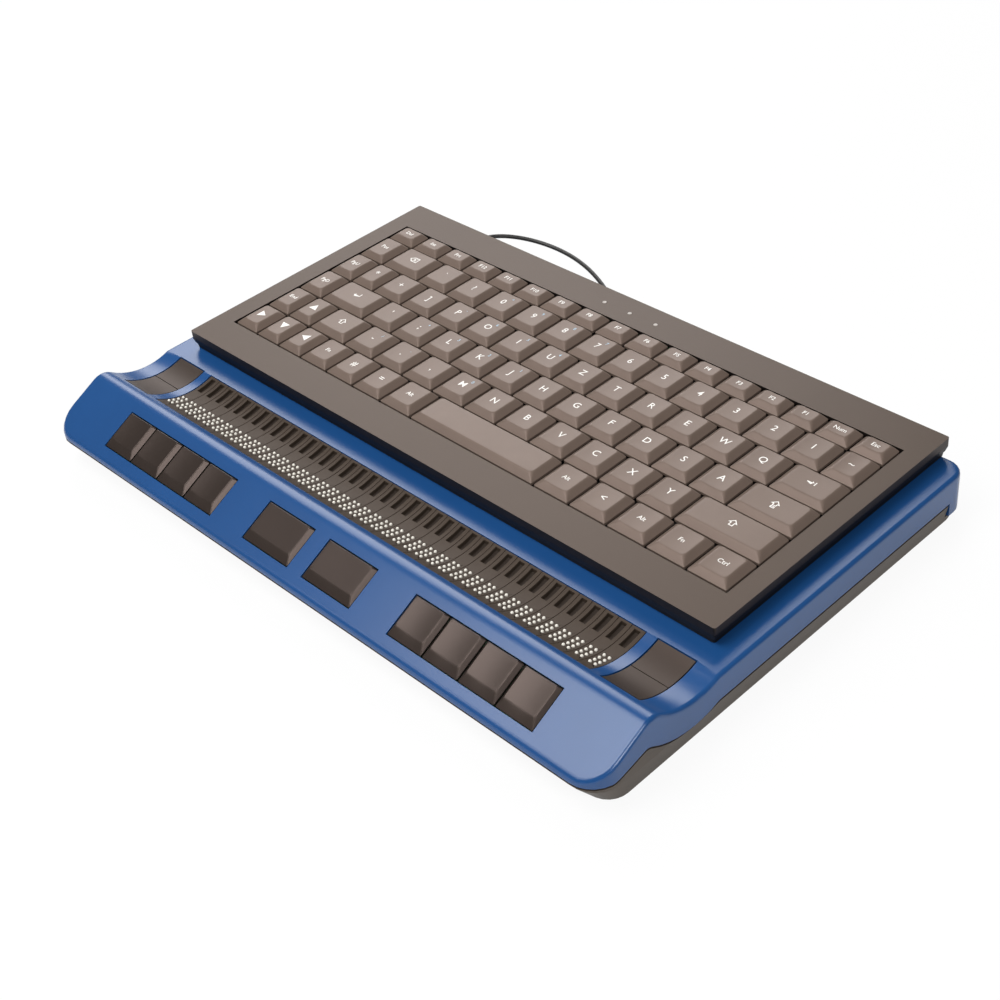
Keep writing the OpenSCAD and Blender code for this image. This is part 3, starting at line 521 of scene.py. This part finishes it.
# The legends are dull ink, white for the first function of a key and pale blue for the second.
# They are plain letters, numbers, signs and arrows, printed a few hundredths of a millimetre thick.
def printed_ink(name, colour):
    """Dull ink with a slightly uneven coat."""
    material, tree = empty_material(name)
    place = add(tree, "ShaderNodeTexCoord").outputs["Object"]
    blotch = 0.7 * MM
    coat = add(tree, "ShaderNodeTexNoise", {"Vector": place, "Scale": 1 / blotch, "Detail": 2.0})
    tint = add(tree, "ShaderNodeMixRGB", {
        "Fac": coat.outputs["Fac"], "Color1": linear(colour, 0.9), "Color2": linear(colour)})
    shader = add(tree, "ShaderNodeBsdfPrincipled", {
        "Base Color": tint.outputs["Color"], "Roughness": 0.6})
    add(tree, "ShaderNodeOutputMaterial", {"Surface": shader.outputs["BSDF"]})
    return material


white_ink = printed_ink("white_ink", "#f4f1ec")
ink_half = 0.02 * MM
ink_rise = 0.01 * MM
letter_size = 4.8 * MM
word_size = 3.0 * MM
ink_spread = 0.025 * MM
row_legends = {
    "bottom_row_keys": ["▶", "▼", "◀", "Fn", "#", "=", "Alt", "Alt", "<", "Alt", "Fn", "Ctrl"],
    "lower_letter_keys": ["End", "▲", "-", ".", ",", "M", "N", "B", "V", "C", "X", "Y"],
    "home_letter_keys": ["PgD", "'", ";", "L", "K", "J", "H", "G", "F", "D", "S", "A"],
    "upper_letter_keys": ["PgU", "*", "+", "]", "P", "O", "I", "U", "Z", "T", "R", "E", "W", "Q"],
    "number_keys": ["Pos", "`", "?", "0", "9", "8", "7", "6", "5", "4", "3", "2", "1", "~"],
    "function_keys": ["Del", "Ins", "Prt"] + ["F%d" % n for n in range(12, 0, -1)] + ["Num", "Esc"],
    "narrow_shift_key": ["⇧"], "wide_shift_key": ["⇧"], "enter_key": ["↵"],
    "caps_key": ["⇪"], "tab_key": ["⇥"], "backspace_key": ["⌫"],
}
pale_blue_ink = printed_ink("pale_blue_ink", "#a8c4d6")
second_size = 2.4 * MM
second_place = Vector((2.6, 3.4, 0)) * MM
second_legends = {
    "lower_letter_keys": ["", "", "/", ".", "", "0"],
    "home_letter_keys": ["", "", "+", "3", "2", "1"],
    "upper_letter_keys": ["", "", "", "", "-", "6", "5", "4"],
    "number_keys": ["", "", "", "*", "9", "8", "7"],
}


def legend_mesh(text, size):
    """The flat outline of a legend, a little thick, centred on the origin."""
    curve = bpy.data.curves.new("legend", "FONT")
    curve.body = text
    curve.size = size
    curve.extrude = ink_half
    curve.offset = ink_spread
    curve.align_x = "CENTER"
    curve.align_y = "CENTER"
    curve.resolution_u = 3
    sample = bpy.data.objects.new("legend", curve)
    bpy.context.scene.collection.objects.link(sample)
    data = bpy.data.meshes.new_from_object(sample.evaluated_get(bpy.context.evaluated_depsgraph_get()))
    bpy.data.objects.remove(sample)
    bpy.data.curves.remove(curve)
    return data


def print_legends(name, node, texts, ink, letter, word, offset):
    """Lays one legend on each cap of a row, at an offset from the middle of its top."""
    drawn = bmesh.new()
    lean = (cap_taper[1] - cap_taper[2]) / 2
    for (foot, width, _), text in zip(caps_in(node), texts):
        if text:
            data = legend_mesh(text, letter if len(text) == 1 else word)
            half = (width - cap_gap) / 2 - cap_taper[0]
            first = len(drawn.verts)
            drawn.from_mesh(data)
            bpy.data.meshes.remove(data)
            drawn.verts.ensure_lookup_table()
            for vert in drawn.verts[first:]:
                x = vert.co.x + offset.x
                y = vert.co.y + offset.y + lean
                top = cap_height - dish_at(x, half, dish_of(width)) + ink_rise
                vert.co = foot + Vector((x, y, top + vert.co.z))
    finish_piece(name, drawn, ink, node)


for node, texts in row_legends.items():
    print_legends(node + "_legends", node, texts, white_ink, letter_size, word_size, Vector())
for node, texts in second_legends.items():
    print_legends(node + "_second_legends", node, texts, pale_blue_ink, second_size, second_size,
                  second_place)

# The keyboard's upper half is a flat frame round the keys, moulded in brown-black ABS with a satin skin.
# It snaps onto the tray. Its upright walls get a near-black painted shade, which stands in for the shade
# on them.
case_abs = moulded("satin_brown_abs", "#42382f", roughness=0.5, grain=0.7 * MM, depth=0.006 * MM,
                   sheen=BROWN_SHEEN, level=0.55, painted_wall_shade="#0d0b0a")
dress("keyboard_frame", case_abs, rounding=0.5 * MM)

# Three lenses of smoky acrylic are pressed into the frame behind the keys and light up for the lock keys.
# Their face is lightly frosted, so they stay dull and grey when they are off.
lens_acrylic = moulded("smoky_acrylic", "#a39a92", roughness=0.3, grain=0.5 * MM, depth=0.002 * MM)
dress("indicator_lenses", lens_acrylic, rounding=0.2 * MM)

# The lead is a thin round cable with a black PVC jacket, which has a soft gloss. It leaves the keyboard's
# rear through a tapered relief, swings out behind and goes down to a low plug in the housing's rear wall.
# Each knot of its route is a handle, a place and a handle, in millimetres.
jacket_pvc = moulded("black_pvc", "#262422", roughness=0.45, grain=0.6 * MM, depth=0.010 * MM)
lead_diameter = 2 * MM
lead_knots = [
    ((-111.6, 101, 26.3), (-111.6, 107.1, 26.3), (-111.6, 117.6, 26.3)),
    ((-97.9, 130.7, 21.8), (-78.1, 130.7, 20.3), (-51.1, 130.7, 18.3)),
    ((-32, 114.9, 14), (-23, 111.9, 12), (-14, 109, 10))]
lead_curve = bpy.data.curves.new("lead", "CURVE")
lead_curve.dimensions = "3D"
lead_curve.bevel_depth = lead_diameter / 2
lead_curve.bevel_resolution = 4
lead_curve.use_fill_caps = True
lead_curve.resolution_u = 24
lead_spline = lead_curve.splines.new("BEZIER")
lead_spline.bezier_points.add(len(lead_knots) - 1)
for knot, (before, place, after) in zip(lead_spline.bezier_points, lead_knots):
    knot.handle_left = Vector(before) * MM
    knot.co = Vector(place) * MM
    knot.handle_right = Vector(after) * MM
lead_curve.materials.append(jacket_pvc)
lead = bpy.data.objects.new("lead", lead_curve)
bpy.context.scene.collection.objects.link(lead)
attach(lead, "base")
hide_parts("keyboard_cable")
relief = dress("strain_relief", jacket_pvc, rounding=0.15 * MM)
plug = dress("cable_plug", jacket_pvc, rounding=0.6 * MM)

# The studio is a white floor under four soft panels, in a white surround.
# The floor shows white to the camera, and near the housing to its gloss, and keeps a faint shadow.
floor_half = 3.0
white_share = 0.92
gloss_share = 0.5
gloss_near = 0.3
gloss_far = 0.8
floor_mesh = bpy.data.meshes.new("floor")
floor_mesh.from_pydata(
    [(-floor_half, -floor_half, 0), (floor_half, -floor_half, 0), (floor_half, floor_half, 0),
     (-floor_half, floor_half, 0)], [], [(0, 1, 2, 3)])
floor = bpy.data.objects.new("floor", floor_mesh)
bpy.context.scene.collection.objects.link(floor)
floor_paint, tree = empty_material("white_floor")
path = add(tree, "ShaderNodeLightPath")
place = add(tree, "ShaderNodeTexCoord").outputs["Object"]
reach = add(tree, "ShaderNodeVectorMath", {0: place}, operation="LENGTH")
near = add(tree, "ShaderNodeMapRange", {
    "Value": reach.outputs["Value"], "From Min": gloss_near, "From Max": gloss_far,
    "To Min": gloss_share, "To Max": 0.0})
mirrored = add(tree, "ShaderNodeMath", {
    0: path.outputs["Is Glossy Ray"], 1: near.outputs["Result"]}, operation="MULTIPLY")
share = add(tree, "ShaderNodeMath", {
    0: path.outputs["Is Camera Ray"], 1: white_share, 2: mirrored.outputs["Value"]},
    operation="MULTIPLY_ADD")
matt = add(tree, "ShaderNodeBsdfDiffuse", {"Color": linear("#ffffff", 0.85)})
glow = add(tree, "ShaderNodeEmission", {"Color": linear("#ffffff"), "Strength": 1.0})
mixed = add(tree, "ShaderNodeMixShader", {
    "Fac": share.outputs["Value"], 1: matt.outputs["BSDF"], 2: glow.outputs["Emission"]})
add(tree, "ShaderNodeOutputMaterial", {"Surface": mixed.outputs["Shader"]})
floor_mesh.materials.append(floor_paint)


def soft_panel(name, place, width, depth, power):
    """A soft light that faces the middle of the housing."""
    data = bpy.data.lights.new(name, "AREA")
    data.shape = "RECTANGLE"
    data.size = width
    data.size_y = depth
    data.energy = power
    panel = bpy.data.objects.new(name, data)
    panel.location = place
    panel.rotation_euler = (-Vector(place)).to_track_quat("-Z", "Y").to_euler()
    bpy.context.scene.collection.objects.link(panel)


soft_panel("overhead_panel", (-0.26, -0.46, 1.2), width=0.85, depth=0.75, power=12.3)
soft_panel("rear_panel", (-0.86, 0.78, 0.8), width=1.05, depth=0.8, power=11)
soft_panel("front_panel", (-0.5, -1.0, 0.98), width=0.9, depth=0.4, power=3.8)
soft_panel("right_panel", (0.94, -0.4, 0.9), width=0.5, depth=0.36, power=6.5)

surround_light = 0.12
world = bpy.data.worlds.new("white_surround")
world.use_nodes = True
world.node_tree.nodes.clear()
path = add(world.node_tree, "ShaderNodeLightPath")
strength = add(world.node_tree, "ShaderNodeMapRange", {
    "Value": path.outputs["Is Camera Ray"], "To Min": surround_light, "To Max": 1.0})
surround = add(world.node_tree, "ShaderNodeBackground", {
    "Color": linear("#ffffff"), "Strength": strength.outputs["Result"]})
add(world.node_tree, "ShaderNodeOutputWorld", {"Surface": surround.outputs["Background"]})
bpy.context.scene.world = world
bpy.context.scene.view_settings.view_transform = "Standard"

# The camera stands in front of the right end and looks down on the keys, turned a little on its axis.
# Its lens is a short telephoto, so the far end of the keyboard looks only a little smaller.
camera_place = Vector((431.9, -364.55, 438.5)) * MM
camera_aim = Vector((27.54, -17.85, 15)) * MM
camera_roll = math.radians(-6.456)
camera_data = bpy.data.cameras.new("camera")
camera_data.sensor_width = 36
camera_data.lens = 61.35
camera = bpy.data.objects.new("camera", camera_data)
camera.location = camera_place
aim = (camera_aim - camera_place).to_track_quat("-Z", "Y")
camera.rotation_euler = (aim.to_matrix() @ Matrix.Rotation(camera_roll, 3, "Z")).to_euler()
bpy.context.scene.collection.objects.link(camera)
bpy.context.scene.camera = camera
